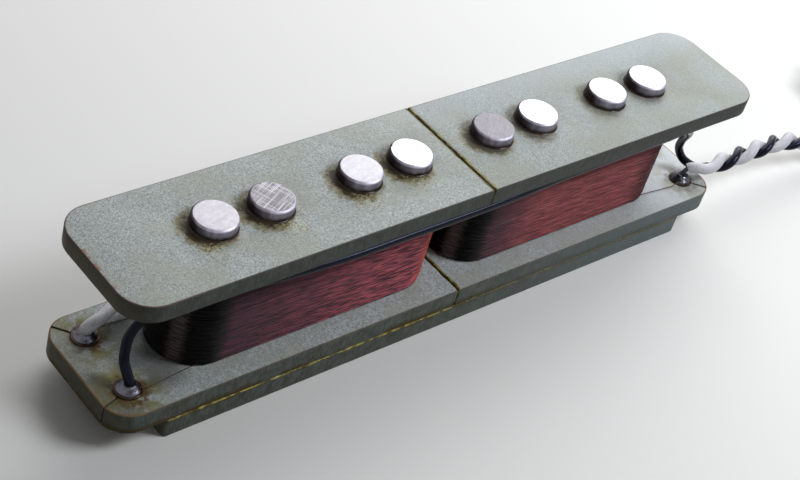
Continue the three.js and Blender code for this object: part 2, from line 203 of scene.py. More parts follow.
class Finish:
    """A material's nodes. Places and sizes in it are in millimetres."""

    def __init__(self, name, **sockets):
        self.material = bpy.data.materials.new(name)
        self.material.use_nodes = True
        self.nodes = self.material.node_tree.nodes
        self.links = self.material.node_tree.links
        self.shader = self.nodes["Principled BSDF"]
        coord = self.nodes.new("ShaderNodeTexCoord")
        self.normal = coord.outputs["Normal"]
        self.at = self.vec("MULTIPLY", coord.outputs["Object"], (1 / MM,) * 3)
        self.x, self.y, self.z = self.parts(self.at)
        for key, value in sockets.items():
            self.set(key.replace("_", " "), value)

    def set(self, name, value):
        self.put(self.shader.inputs[name], value)

    def made(self, color, roughness, normal):
        """The material, once its shader has these."""
        self.set("Base Color", color)
        self.set("Roughness", roughness)
        self.set("Normal", normal)
        return self.material

    def put(self, socket, value):
        if isinstance(value, bpy.types.NodeSocket):
            self.links.new(value, socket)
        else:
            socket.default_value = value

    def vec(self, operation, a, b=(0, 0, 0)):
        node = self.nodes.new("ShaderNodeVectorMath")
        node.operation = operation
        self.put(node.inputs[0], a)
        self.put(node.inputs[1], b)
        return node.outputs["Value" if operation in ("DISTANCE", "DOT_PRODUCT") else "Vector"]

    def math(self, operation, a, b=0.0):
        node = self.nodes.new("ShaderNodeMath")
        node.operation = operation
        self.put(node.inputs[0], a)
        self.put(node.inputs[1], b)
        return node.outputs[0]

    def plus(self, a, b):
        return self.math("ADD", a, b)

    def minus(self, a, b):
        return self.math("SUBTRACT", a, b)

    def times(self, first, *others):
        for value in others:
            first = self.math("MULTIPLY", first, value)
        return first

    def off(self, value, middle=0.0):
        """How far a value is from middle."""
        return self.math("ABSOLUTE", self.minus(value, middle))

    def parts(self, vector):
        """A vector's x, y and z."""
        node = self.nodes.new("ShaderNodeSeparateXYZ")
        self.put(node.inputs[0], vector)
        return tuple(node.outputs)

    def grain(self, size, detail=3.0, rough=0.55, at=None, stretch=(1, 1, 1), color=False):
        """Noise of 0 to 1 whose features are about size across, longer where stretch is more."""
        divided = self.vec("DIVIDE", at or self.at, tuple(size * s for s in stretch))
        node = self.nodes.new("ShaderNodeTexNoise")
        node.inputs["Scale"].default_value = 1.0
        node.inputs["Detail"].default_value = detail
        node.inputs["Roughness"].default_value = rough
        self.put(node.inputs["Vector"], divided)
        return node.outputs["Color" if color else "Fac"]

    def shaken(self, size, amount):
        """The place, moved about by noise."""
        away = self.vec("SUBTRACT", self.grain(size, color=True), (0.5, 0.5, 0.5))
        return self.vec("ADD", self.at, self.vec("MULTIPLY", away, (2 * amount,) * 3))

    def fade(self, value, start, end, low=0.0, high=1.0):
        """low at start, high at end, and smooth between."""
        node = self.nodes.new("ShaderNodeMapRange")
        node.interpolation_type = "SMOOTHSTEP"
        if start > end:
            start, end, low, high = end, start, high, low
        for name, v in (("From Min", start), ("From Max", end), ("To Min", low), ("To Max", high)):
            node.inputs[name].default_value = v
        self.put(node.inputs["Value"], value)
        return node.outputs["Result"]

    def nearest(self, at, centres):
        """The distance across from the nearest of some centres."""
        flat = self.vec("MULTIPLY", at, (1, 1, 0))
        least = None
        for x, y in centres:
            d = self.vec("DISTANCE", flat, (x, y, 0))
            least = d if least is None else self.math("MINIMUM", least, d)
        return least

    def mix(self, amount, a, b):
        """Colour a where amount is 0, and b where it is 1."""
        node = self.nodes.new("ShaderNodeMix")
        node.data_type = "RGBA"
        self.put(node.inputs[0], amount)
        for socket, value in ((node.inputs[6], a), (node.inputs[7], b)):
            self.put(socket, (*value, 1) if isinstance(value, tuple) and len(value) == 3 else value)
        return node.outputs[2]

    def bump(self, height, depth, under=None):
        node = self.nodes.new("ShaderNodeBump")
        node.inputs["Distance"].default_value = depth * MM
        self.put(node.inputs["Height"], height)
        if under:
            self.put(node.inputs["Normal"], under)
        return node.outputs[0]


# Fibre: the faces and cut sides of the three plates

# Painted light: paler, bluer fibre at the upper plate's back right and the lower plate's right end.
PAINTED_LIGHT_UPPER, PAINTED_LIGHT_LOWER = srgb(222, 230, 240), srgb(226, 231, 238)
HALO_AND_SHADOW, CORE_AND_SHADOW = srgb(120, 106, 46), srgb(50, 34, 14)  # lacquer round the rods, thin and thick, with the rods' painted shadow in them
SPECK, DOT = srgb(212, 204, 152), srgb(70, 60, 34)  # dried spots, pale and dark
SPLIT_RUN = srgb(128, 118, 62)
WORN_UPPER, WORN_LOWER = srgb(128, 104, 98), srgb(142, 118, 92)
AMBER, ORANGE = srgb(142, 102, 56), srgb(152, 102, 52)  # lacquer on the two plates' edges
FLUX_THIN, FLUX_THICK = srgb(126, 120, 52), srgb(92, 56, 20)
# A dark patch of lacquer and painted shade, and painted shade round the left coil's end.
SMEAR_AND_SHADE, PAINTED_SHADE_COIL_END = srgb(90, 86, 58), srgb(94, 98, 95)
CUT_LEFT = srgb(88, 80, 60)  # what cut sides that face left turn to
MOSS = (0.9, 0.87, 0.7)  # the tint of the fibre's green clouds
SPECK_PLACES = [(-33.8, -3.0), (-24.3, -2.9), (-14.6, -3.1), (-7.0, -2.5)]


def fibre(name, pale, dark, stains=None):
    """Grey vulcanised fibre: matted flock, with a faint lay along the sheet."""
    f = Finish(name, Specular_IOR_Level=0.3)
    fine = f.grain(0.22, 4, 0.85, stretch=(1, 1.25, 1))
    flock = f.grain(0.6, 3, 0.6, stretch=(1, 1.3, 1))
    tone = f.plus(f.times(fine, 0.8), f.times(flock, 0.2))
    # The flock lies smoother towards the right-hand end.
    coarse = f.fade(f.x, 40, -10, 0.45, 1.0)
    middle = tuple((a + b) / 2 for a, b in zip(dark, pale))
    color = f.mix(coarse, middle, f.mix(f.fade(tone, 0.37, 0.63), dark, pale))
    moss = tuple(a * b for a, b in zip(middle, MOSS))
    color = f.mix(f.times(f.fade(f.grain(6, 2), 0.42, 0.66), 0.5), color, moss)
    pore = f.fade(f.grain(0.34, 2, 0.5, stretch=(1.3, 1, 1)), 0.36, 0.27)
    color = f.mix(f.times(pore, coarse, 0.4), color, scaled(dark, 0.5))
    if stains:
        color = stains(f, color)
    return f.made(color, f.fade(flock, 0.3, 0.7, 0.5, 0.68), f.bump(fine, 0.06, f.bump(flock, 0.05)))


def rim_distance(f, half, corner, amount):
    """How far in from a plate's outline, shaken by amount, at any height."""
    any_height = 100
    away = f.vec("SUBTRACT", f.vec("ABSOLUTE", f.shaken(0.6, amount)),
                 (half[0] - corner, half[1] - corner, any_height))
    return f.minus(corner, f.vec("DISTANCE", f.vec("MAXIMUM", away)))


def upper_stains(f, color):
    """Lacquer that crept out round the rods, with the rods' painted shadow to their lower left, and at
    the split.
    The back of the right-hand half is painted paler: painted light."""
    # Painted light: paler towards the key lamp at the back right.
    painted_light = f.times(f.fade(f.y, 1.5, 7.5, 0.0, 0.3), f.fade(f.x, -10, 4))
    color = f.mix(painted_light, color, PAINTED_LIGHT_UPPER)
    shaken = f.shaken(1.1, 1.3)
    halo_and_shadow = f.nearest(shaken, [(x - 0.95, -0.25) for x in ROD_X])
    halo_and_shadow = f.plus(halo_and_shadow, f.times(f.minus(f.grain(0.4, 3, 0.7), 0.5), 1.8))
    weaker = f.fade(f.x, -14, 30, 1.0, 0.3)
    # The halos are lacquer and painted shadow of the rods, darkest to their lower left.
    color = f.mix(f.times(f.fade(halo_and_shadow, 3.5, 2.8), weaker, 0.75), color, HALO_AND_SHADOW)
    color = f.mix(f.times(f.fade(halo_and_shadow, 2.8, 2.2), weaker, 0.92), color, CORE_AND_SHADOW)
    below = f.nearest(shaken, SPECK_PLACES)
    speck = f.times(f.fade(f.grain(0.26, 3, 0.7), 0.5, 0.6), f.fade(below, 2.2, 0.6))
    color = f.mix(f.times(speck, 0.75), color, SPECK)
    dots = f.times(f.fade(f.grain(0.32, 2), 0.44, 0.36), f.fade(below, 2.6, 0.8))
    color = f.mix(f.times(dots, 0.7), color, DOT)
    split = f.fade(f.off(f.parts(f.shaken(0.6, 0.3))[0]), 0.55, 0.3)
    color = f.mix(f.times(split, 0.6), color, SPLIT_RUN)
    rim = f.fade(rim_distance(f, UPPER_HALF, UPPER_CORNER, 0.06), 0.24, 0.12)
    color = f.mix(f.times(rim, f.fade(f.x, -34, -43, 0.15, 0.6)), color, WORN_UPPER)
    # Lacquer in patches along the middle of the left end's edge.
    left_edge = f.fade(f.parts(f.shaken(0.6, 0.3))[0], -45.4, -45.8)
    patches = f.fade(f.grain(1.1, 2, at=f.vec("MULTIPLY", f.at, (0, 1, 0))), 0.44, 0.56)
    middle = f.fade(f.off(f.y, -0.6), 3.6, 2.6)
    return f.mix(f.times(left_edge, patches, middle, 0.85), color, AMBER)


def lower_stains(f, color):
    """Flux round the eyelets, painted shade with lacquer at the left end, lacquer on the ends' edges,
    painted light at the right.
    """
    # Painted light: a little paler right of the split, much paler at the right-hand end.
    painted_light = f.plus(f.fade(f.x, -5, 9, 0.0, 0.06), f.fade(f.x, 30, 39, 0.0, 0.47))
    color = f.mix(painted_light, color, PAINTED_LIGHT_LOWER)
    ring = f.nearest(f.shaken(1.0, 1.1), [(x, y - 0.3) for x, y in EYELETS.values()])
    # There is less flux at the right-hand end and in the back left corner.
    corner = f.nearest(f.shaken(1.5, 0.8), [(-45.0, 4.3), (-45.2, 2.6)])
    less = f.times(f.fade(f.x, -10, 10, 0.85, 0.4), f.fade(corner, 1.0, 3.0, 0.35, 1.0))
    wide = f.times(f.fade(ring, 4.8, 2.4), f.fade(f.grain(1.8, 3), 0.34, 0.56))
    color = f.mix(f.times(wide, less), color, FLUX_THIN)
    close = f.times(f.fade(ring, 2.7, 1.7), f.fade(f.grain(0.9, 3), 0.3, 0.56))
    color = f.mix(f.times(close, less), color, FLUX_THICK)
    # Lacquer and painted shade beside the front left eyelet, and painted shade round the left coil's end.
    smear = f.nearest(f.shaken(1.6, 1.3), [(-44.7, -2.2), (-45.3, -4.4), (-43.9, -6.3)])
    color = f.mix(f.fade(smear, 2.6, 0.7, 0.0, 0.62), color, SMEAR_AND_SHADE)
    coil_end_shade = f.nearest(f.shaken(2.2, 0.9), [(-37.6, -3.3), (-38.8, -0.6), (-38.2, 2.8)])
    color = f.mix(f.fade(coil_end_shade, 3.6, 1.0, 0.0, 0.7), color, PAINTED_SHADE_COIL_END)
    rim = rim_distance(f, LOWER_HALF, LOWER_CORNER, 0.05)
    ends = f.fade(f.off(f.x), 41.5, 44)
    worn = f.times(f.fade(rim, 0.26, 0.12), f.plus(f.times(ends, 0.4), 0.2))
    color = f.mix(worn, color, WORN_LOWER)
    return f.mix(f.times(f.fade(rim, 0.27, 0.15), ends, 0.85), color, ORANGE)


def cut_edge(name, pale, dark, right, rim, smear=None):
    """The sheared side of the fibre: darker as painted shade, with streaks up and down from the blade.
    right is what its colour turns half to at the right-hand end: painted shade on the upper
    plate's sides, painted light on the lower plate's and the base's. rim is the upper edge's height,
    and the colour of its burr. smear is a height where glue was wiped along it, and the glue's colour."""
    f = Finish(name, Specular_IOR_Level=0.1)
    streak = f.grain(0.2, 3, 0.6, stretch=(1, 1, 7))
    patch = f.grain(1.2, 4, 0.65)
    tone = f.plus(f.times(streak, 0.4), f.times(patch, 0.6))
    color = f.mix(f.fade(tone, 0.36, 0.64), dark, pale)
    # Painted shade towards the right end of the upper plate's sides, painted light on the lower ones.
    color = f.mix(f.fade(f.x, -10, 42, 0.0, 0.5), color, right)
    color = f.mix(f.fade(f.parts(f.normal)[0], -0.3, -0.9, 0.0, 0.5), color, CUT_LEFT)
    if smear:
        height, smear_color = smear
        band = f.fade(f.off(f.parts(f.shaken(1.5, 0.5))[2], height + 0.2), 0.8, 0.15)
        broken = f.fade(f.grain(2.4, 3, stretch=(2, 2, 1)), 0.38, 0.52)
        color = f.mix(f.times(band, broken, f.fade(f.x, 14, -6, 0.35, 0.9)), color, smear_color)
    height, burr_color = rim
    burr = f.times(f.fade(f.z, height - 0.16, height - 0.04), f.fade(f.x, -34, -43, 0.25, 0.75))
    color = f.mix(burr, color, burr_color)
    return f.made(color, f.fade(patch, 0.3, 0.7, 0.42, 0.62), f.bump(streak, 0.05))


def lacquer(name, thin, thick, size=0.5, faded=None):
    """Runs of lacquer or glue, thin and thick in turn. faded is its colour at the right-hand end."""
    f = Finish(name, Specular_IOR_Level=0.2)
    color = f.mix(f.fade(f.grain(size, 3), 0.38, 0.62), thick, thin)
    if faded:
        color = f.mix(f.fade(f.x, -6, 12, 0.0, 0.85), color, faded)
    return f.made(color, 0.22, f.bump(f.grain(size * 0.5, 2), 0.03))


# Metal, wire and plastic

# Rod sides: painted shade and light by facing, lacquer and painted shade at the foot, a painted rim
# highlight.
FILM_AND_SHADE, SCRATCH, PAINTED_RIM_HIGHLIGHT = srgb(44, 34, 30), srgb(184, 182, 188), srgb(206, 202, 216)
SIDE_PAINTED_SHADE, SIDE_PAINTED_LIGHT_DULL, SIDE_PAINTED_LIGHT = srgb(46, 36, 38), srgb(126, 121, 134), srgb(158, 155, 170)
# Painted shade along the coils from their left ends, and painted orange light on their right-hand ends.
CRIMSON, PAINTED_SHADE_RUN, PAINTED_LIGHT_ORANGE = srgb(150, 62, 88), srgb(56, 48, 56), srgb(222, 100, 72)
# Painted shade and dark reflection on the coils' left ends, and a painted reflection streak on them.
PAINTED_DARK_END, PAINTED_DARK_END_WIRE, PAINTED_DARK_END_EDGE = srgb(5, 5, 5), srgb(17, 14, 14), srgb(40, 39, 40)
PAINTED_REFLECTION, PAINTED_REFLECTION_WIRE = srgb(74, 69, 67), srgb(124, 110, 106)


def rod_side(f):
    """A rod's drawn side: painted shade at the back left and painted light at the front right, under a
    film of brown lacquer and painted shade near the plate, and a painted highlight at the rim facing the
    light."""
    drawn = f.grain(0.8, 3, 0.5, stretch=(1, 1, 7))
    painted_lit = f.mix(f.fade(drawn, 0.3, 0.7), SIDE_PAINTED_LIGHT_DULL, SIDE_PAINTED_LIGHT)
    toward_light = f.plus(f.vec("DOT_PRODUCT", f.normal, (0.62, -0.78, 0.25)), f.times(drawn, 0.3))
    # Painted shade on the side away from the light, painted light on the side towards it.
    side = f.mix(f.fade(toward_light, -0.5, 0.5), SIDE_PAINTED_SHADE, painted_lit)
    # A lacquer film with painted shade near the plate.
    film_and_shade = f.fade(f.parts(f.shaken(0.8, 0.3))[2], UPPER_TOP + 0.7, UPPER_TOP + 0.1)
    side = f.mix(film_and_shade, side, FILM_AND_SHADE)
    # A painted highlight round the rim where it faces the light.
    rim = f.times(f.fade(f.z, ROD_TOP - 0.35, ROD_TOP - 0.19), f.fade(toward_light, 0.1, 0.8, 0.0, 0.4))
    return f.mix(rim, side, PAINTED_RIM_HIGHLIGHT)


def magnet(name, face, roughness, lay, scratched):
    """A cast rod with a ground end. lay is the direction of the grinding marks in degrees."""
    f = Finish(name, Metallic=1.0)
    c, s = math.cos(math.radians(lay)), math.sin(math.radians(lay))
    turned = f.nodes.new("ShaderNodeCombineXYZ")
    for socket, way in zip(turned.inputs, ((c, s, 0), (-s, c, 0), (0, 0, 1))):
        f.put(socket, f.vec("DOT_PRODUCT", f.at, way))
    along = turned.outputs[0]
    marks = f.grain(0.045, 2, 0.7, at=along, stretch=(40, 1, 12))
    ground = f.mix(f.fade(f.grain(0.5, 4, 0.7), 0.35, 0.7), scaled(face, 0.88), face)
    height = marks
    if scratched:
        lines = f.fade(f.grain(0.1, 2, 0.6, at=along, stretch=(50, 1, 1)), 0.5, 0.64)
        crossing = f.fade(f.grain(0.09, 2, 0.6, at=along, stretch=(1, 50, 1)), 0.5, 0.66)
        lines = f.math("MAXIMUM", lines, f.times(crossing, 0.85))
        ground = f.mix(f.times(lines, scratched), ground, SCRATCH)
        height = f.plus(marks, lines)
    on_end = f.fade(f.parts(f.normal)[2], 0.9, 0.985)
    return f.made(f.mix(on_end, rod_side(f), ground),
                  f.fade(marks, 0.3, 0.7, roughness * 0.8, roughness * 1.15), f.bump(height, 0.008))


def painted_dark_end(f, wires, end, edge):
    """Where a coil's left end is painted near-black, as painted shade and dark reflection,
    and that colour, with a browner band of painted reflection.
    """
    ragged = f.minus(wires, 0.5)
    color = f.mix(f.fade(wires, 0.4, 0.66), PAINTED_DARK_END, PAINTED_DARK_END_WIRE)
    around = f.off(f.math("ARCTAN2", f.y, f.minus(f.x, end)))
    streak = f.fade(f.plus(f.off(around, 2.56), f.times(ragged, 0.5)), 0.26, 0.08)
    color = f.mix(streak, color, f.mix(f.fade(wires, 0.4, 0.62), PAINTED_REFLECTION, PAINTED_REFLECTION_WIRE))
    x = f.plus(f.x, f.times(ragged, 3.0))
    color = f.mix(f.fade(x, end + edge - 2.0, end + edge - 0.3), color, PAINTED_DARK_END_EDGE)
    return f.fade(x, end + edge + 0.8, end + edge - 0.6), color


def enamel(name, red, dark, end, dull, edge, glow, shade):
    """Fine enamelled wire, with painted shade for a stretch from end, where the coil's left end begins
    to turn, painted shade towards the top under the upper plate, and painted shade and dark reflection
    as near-black round that end. edge is how far past end that near-black stops. glow is how much
    painted orange light the right-hand end gets, and shade is how much painted shade darkens it."""
    f = Finish(name, Specular_IOR_Level=0.07)
    slanted = f.vec("ADD", f.at, f.vec("MULTIPLY", (0, 0, 0.045), f.x))
    wires = f.grain(0.125, 2, 0.6, at=slanted, stretch=(21, 21, 1))
    bundles = f.grain(0.45, 2, 0.6, at=slanted, stretch=(8, 8, 1))
    tone = f.plus(f.times(wires, 0.86), f.times(bundles, 0.14))
    color = f.mix(f.fade(tone, 0.38, 0.62), dark, red)
    patch = f.fade(f.grain(1.6, 2, stretch=(2, 2, 1)), 0.5, 0.8)
    color = f.mix(f.times(patch, 0.3), color, CRIMSON)
    x = f.parts(f.shaken(2, 1.2))[0]
    far_end = end + 2 * COIL_HALF
    # Painted shade along a stretch from the left end.
    color = f.mix(f.fade(x, end + dull, end, 0.0, 0.85), color, PAINTED_SHADE_RUN)
    # Painted orange light on the right-hand end.
    color = f.mix(f.times(f.fade(x, far_end + 0.4, far_end + 2.7), glow), color, PAINTED_LIGHT_ORANGE)
    # Painted shade towards the top, under the upper plate.
    color = f.mix(f.fade(f.z, 12.2, 14.4, 0.0, 0.78), color, scaled(dark, 0.42))
    # Painted shade at the right-hand end.
    color = f.mix(f.fade(x, far_end - 1.9, far_end + 0.9, 0.0, shade), color, scaled(dark, 0.4))
    dark_end_amount, dark_end_color = painted_dark_end(f, wires, end, edge)
    f.set("Metallic", f.times(f.minus(1.0, dark_end_amount), 0.4))
    return f.made(f.mix(dark_end_amount, color, dark_end_color), 0.4, f.bump(wires, 0.03))


def tin(name, color, roughness, dull):
    """Tinned brass or solder, clouded by flux in places."""
    f = Finish(name, Metallic=1.0)
    cloud = f.grain(1.3, 4, 0.65)
    return f.made(f.mix(f.fade(cloud, 0.38, 0.62), color, dull),
                  f.fade(cloud, 0.35, 0.7, roughness, roughness * 1.9), f.bump(f.grain(0.5, 2), 0.03))


def insulation(name, color, dirty, roughness, gloss, foot=None, tint=(1, 1, 1)):
    """A soft plastic jacket: faint handling marks, and foot is its colour where solder singed it.
    tint is the colour of its gloss."""
    f = Finish(name, Specular_IOR_Level=gloss, Specular_Tint=(*tint, 1))
    marks = f.grain(0.6, 4, 0.65)
    color = f.mix(f.fade(marks, 0.5, 0.78), color, dirty)
    if foot:
        low = f.fade(f.parts(f.shaken(0.8, 0.5))[2], LOWER_TOP + 1.6, LOWER_TOP + 0.75)
        over_plate = f.fade(f.off(f.x), LOWER_HALF[0] - 0.25, LOWER_HALF[0] - 1.05)
        color = f.mix(f.times(low, over_plate, 0.5), color, foot)
    return f.made(color, f.fade(marks, 0.3, 0.7, roughness, roughness * 1.35),
                  f.bump(f.grain(0.3, 3), 0.015))


upper_face = fibre("fibre_top", srgb(199, 206, 205), srgb(134, 140, 138), upper_stains)
lower_face = fibre("fibre_lower", srgb(204, 212, 213), srgb(140, 146, 145), lower_stains)
base_face = fibre("fibre_base", srgb(154, 158, 154), srgb(118, 121, 116))
# The cut sides are darker copies of the fibre's faces: painted shade.
upper_edge = cut_edge("fibre_top_edge", srgb(84, 90, 86), srgb(64, 69, 64), srgb(34, 37, 34),
                      (UPPER_TOP, srgb(112, 92, 90)))
lower_edge = cut_edge("fibre_lower_edge", srgb(100, 106, 100), srgb(72, 77, 69), srgb(112, 124, 130),
                      (LOWER_TOP, srgb(134, 112, 82)), (LOWER_UNDER, srgb(70, 58, 20)))
brown = lacquer("lacquer_brown", srgb(70, 48, 22), srgb(30, 22, 13))
olive = lacquer("lacquer_olive", srgb(178, 166, 88), srgb(108, 98, 44), 0.9)
glue = lacquer("glue_yellow", srgb(178, 162, 84), srgb(86, 74, 32), 0.9, srgb(84, 82, 62))
wire_dark = lacquer("wire_dark", srgb(104, 74, 60), srgb(58, 42, 38), 0.3)
tinned = tin("eyelet_tin", srgb(78, 66, 54), 0.3, srgb(46, 34, 26))
solder = tin("solder_dull", srgb(98, 98, 108), 0.24, srgb(62, 61, 68))
singed = srgb(128, 118, 116)
white_jacket = insulation("insulation_white", srgb(202, 202, 210), srgb(178, 176, 177), 0.34, 0.4, singed)
# A paler copy of the white insulation for the link lead: painted light on a lead that lies in shade.
link_jacket_painted_light = insulation("insulation_link_painted_light", srgb(232, 232, 239), srgb(206, 204, 206), 0.34, 0.4, singed)
black_jacket = insulation("insulation_black", srgb(7, 7, 8), srgb(15, 14, 16), 0.1, 0.2,
                          tint=srgb(192, 202, 255))
tie_black = insulation("tie_black", srgb(26, 26, 29), srgb(44, 43, 46), 0.55, 0.3)


# Camera: fitted to the plates' edges and the rods' ends in the photograph

CAMERA_AT = Vector((-120.94, -95.66, 129.33))
CAMERA_TURN = Vector((8.0471, -2.3869, 2.2676))  # its direction is the axis, its length the angle

right, down, ahead = Matrix.Rotation(CAMERA_TURN.length, 3, CAMERA_TURN.normalized())
camera = bpy.data.objects.new("camera", bpy.data.cameras.new("camera"))
camera.data.sensor_width = 36
camera.data.lens = 77.13
camera.data.clip_start = 0.005
camera.matrix_world = Matrix.Translation(CAMERA_AT * MM) @ Matrix(
    (right, -down, -ahead)).transposed().to_4x4()
scene.collection.objects.link(camera)
scene.camera = camera


# Cords: the output pair, with its points and its hank's sizes as in the CAD

HANK_START, HANK_HALF, HANK_REACH = 87.0, 20.0, 11.4
HANK_WAIST, HANK_PITCH, HANK_LIFT, HANK_MIDDLE = 0.25, 3.0, 0.85, -0.5
HANK_ANGLE = math.asin(math.sqrt(1 / (3 * (1 - HANK_WAIST))))
TURN_POINTS, HANK_POINTS = 24, 56
LAY, LAY_ADDED = 7.6, 4.4  # a full twist's length where the pair leaves, and the hank's more
LAY_FROM, LAY_OVER = 70, 15  # the x where it begins to change, and how far that takes
TWIST_START, TWIST_EASE = math.radians(149), 2.6
CLEARANCE = 0.005


def hank_point(t):
    """One point of the hank, by its turn."""
    angle = 2 * math.pi * t + HANK_ANGLE
    c, s = math.cos(angle), math.sin(angle)
    pinch = 1 - HANK_WAIST
    width = HANK_WAIST + pinch * c * c
    along = Vector((HANK_HALF * s, -HANK_REACH * c * (width - 2 * pinch * s * s))).normalized()
    offset = HANK_PITCH * abs(1 - t)
    climb = smooth01((t - 0.75) / 0.5)
    return Vector((HANK_START + HANK_HALF * (1 - c) + offset * along.y,
                   HANK_MIDDLE - HANK_REACH * s * width - offset * along.x,
                   PAIR / 2 + HANK_LIFT * abs(s) ** 6 + climb * HANK_PITCH))


run = [(45.7, -4.96, 6.47), (46.2, -4.95, 6.45), (49.5, -4.93, 6.42), (52.5, -4.9, 6.36),
       (55.5, -4.85, 6.26), (58.5, -4.8, 6.1), (61.5, -4.8, 5.8), (64.5, -4.95, 5.3),
       (67.5, -5.3, 4.6), (70.5, -5.8, 3.75), (73.5, -6.45, 2.9), (76.49, -7.15, 2.15),
       (79.49, -7.8, 1.6), (82.49, -8.35, 1.34), (85.49, -8.65, 1.28)]
hank = [hank_point(i / TURN_POINTS) for i in range(HANK_POINTS)]
tail = hank[-1] + (hank[-1] - hank[-2]).normalized() * PAIR
pair_axis = smooth_route([Vector(p) for p in run] + hank + [tail], 0.35)


def twisted(axis, apart, phase):
    """One lead of the pair: it turns about the axis, slower where the pair is in the hank."""
    out, angle, turned = [], TWIST_START, 0.0
    for i, (p, (_, a, b)) in enumerate(zip(axis, frames(axis))):
        if i:
            step = (p - axis[i - 1]).length
            turned += step
            lay = LAY + LAY_ADDED * smooth01((p.x - LAY_FROM) / LAY_OVER)
            angle -= 2 * math.pi * step / lay * smooth01(turned / TWIST_EASE)
        # a points to -y where the pair leaves, and b down.
        out.append(p - (a * math.cos(angle + phase) + b * math.sin(angle + phase)) * apart)
    return out


def cord_piece(name, path, diameter, material, sides):
    tube = Shape()
    tube.tube(path, diameter / 2, sides)
    return tube.build(name, [material], ("output_pair_run", "output_pair_hank"))


white_path = twisted(pair_axis, BLACK / 2 + CLEARANCE, 0)
black_path = twisted(pair_axis, WHITE / 2 + CLEARANCE, math.pi)
white_cord = cord_piece("output_lead_white", white_path, WHITE, white_jacket, 14)
black_cord = cord_piece("output_lead_black", black_path, BLACK, black_jacket, 12)


# Floor, lamps and world, in metres but for the floor's material

def lamp(name, place, aim, power, size, color=(1, 1, 1)):
    data = bpy.data.lights.new(name, "AREA")
    data.energy, data.size, data.color = power, size, color
    obj = bpy.data.objects.new(name, data)
    way = Vector(aim) - Vector(place)
    obj.matrix_world = Matrix.Translation(place) @ way.to_track_quat("-Z", "Y").to_matrix().to_4x4()
    scene.collection.objects.link(obj)


def seen_ray(tree):
    """1 for what the camera sees itself, in a reflection or through glass, and 0 for other light."""
    path = tree.nodes.new("ShaderNodeLightPath")
    seen = path.outputs["Is Camera Ray"]
    for ray in ("Is Glossy Ray", "Is Transmission Ray"):
        both = tree.nodes.new("ShaderNodeMath")
        both.operation = "MAXIMUM"
        tree.links.new(seen, both.inputs[0])
        tree.links.new(path.outputs[ray], both.inputs[1])
        seen = both.outputs[0]
    return seen


def floor_finish():
    """A plain floor, paler where it is seen than in the light it throws back."""
    f = Finish("floor", Roughness=0.8)
    seen = seen_ray(f.material.node_tree)
    f.set("Base Color", f.mix(seen, srgb(206, 205, 202), srgb(243, 243, 241)))
    # Far from the object the lamps' light runs out, and the floor is seen as pale as the world.
    far = f.fade(f.vec("DISTANCE", f.at, (20, 0, 0)), 150, 380, 0.0, 0.7)
    f.set("Emission Color", (1, 1, 1, 1))
    f.set("Emission Strength", f.times(seen, far))
    return f.material


def light_world(light, seen):
    """A white world: light is its strength on the object, and seen is how bright it looks."""
    world = bpy.data.worlds.new("world")
    scene.world = world
    world.use_nodes = True
    tree = world.node_tree
    background = tree.nodes["Background"]
    background.inputs["Color"].default_value = (1, 1, 1, 1)
    level = tree.nodes.new("ShaderNodeMapRange")
    level.inputs["To Min"].default_value = light
    level.inputs["To Max"].default_value = seen
    tree.links.new(seen_ray(tree), level.inputs["Value"])
    tree.links.new(level.outputs["Result"], background.inputs["Strength"])


lamp("key", (0.20, 0.16, 0.20), (0, 0, 0.01), 0.80, 0.30)
lamp("over", (0.145, -0.125, 0.21), (0.01, 0, 0.01), 0.43, 0.11, (0.94, 0.96, 1.0))

FLOOR_HALF = 3
floor_mesh = bpy.data.meshes.new("floor")
floor_mesh.from_pydata([(sx * FLOOR_HALF, sy * FLOOR_HALF, 0)
                        for sx, sy in ((-1, -1), (1, -1), (1, 1), (-1, 1))], [], [(0, 1, 2, 3)])
floor = bpy.data.objects.new("floor", floor_mesh)
scene.collection.objects.link(floor)
floor_mesh.materials.append(floor_finish())
light_world(0.11, 0.8)


# Plates

ROD_HOLE, EYELET_HOLE, SLIT_WIDTH = 2.53, 1.02, 0.15  # the holes' radii, and the slits
SLITS = {"left": (130, 196), "right": (16, 310)}  # degrees, from the back and front eyelet
UPPER_RIM, LOWER_RIM, BASE_RIM = 0.12, 0.1, 0.12  # their rounded rims


def rounded(x0, x1, y, radius, sharp_end=None, steps=14):
    """The outline of a plate, counterclockwise. sharp_end is the x of an end with square corners."""
    out = []
    for cx, cy, start in ((x1, y, 0), (x0, y, 90), (x0, -y, 180), (x1, -y, 270)):
        if cx == sharp_end:
            out.append((cx, cy))
            continue
        ox = cx - math.copysign(radius, cx - (x0 + x1) / 2)
        oy = cy - math.copysign(radius, cy)
        for s in range(steps + 1):
            a = math.radians(start + 90 * s / steps)
            out.append((ox + radius * math.cos(a), oy + radius * math.sin(a)))
    return out


def rod_hole(x):
    """A hole's outline, clockwise."""
    return [(x + ROD_HOLE * math.cos(a), -ROD_HOLE * math.sin(a)) for a in angles(64)]


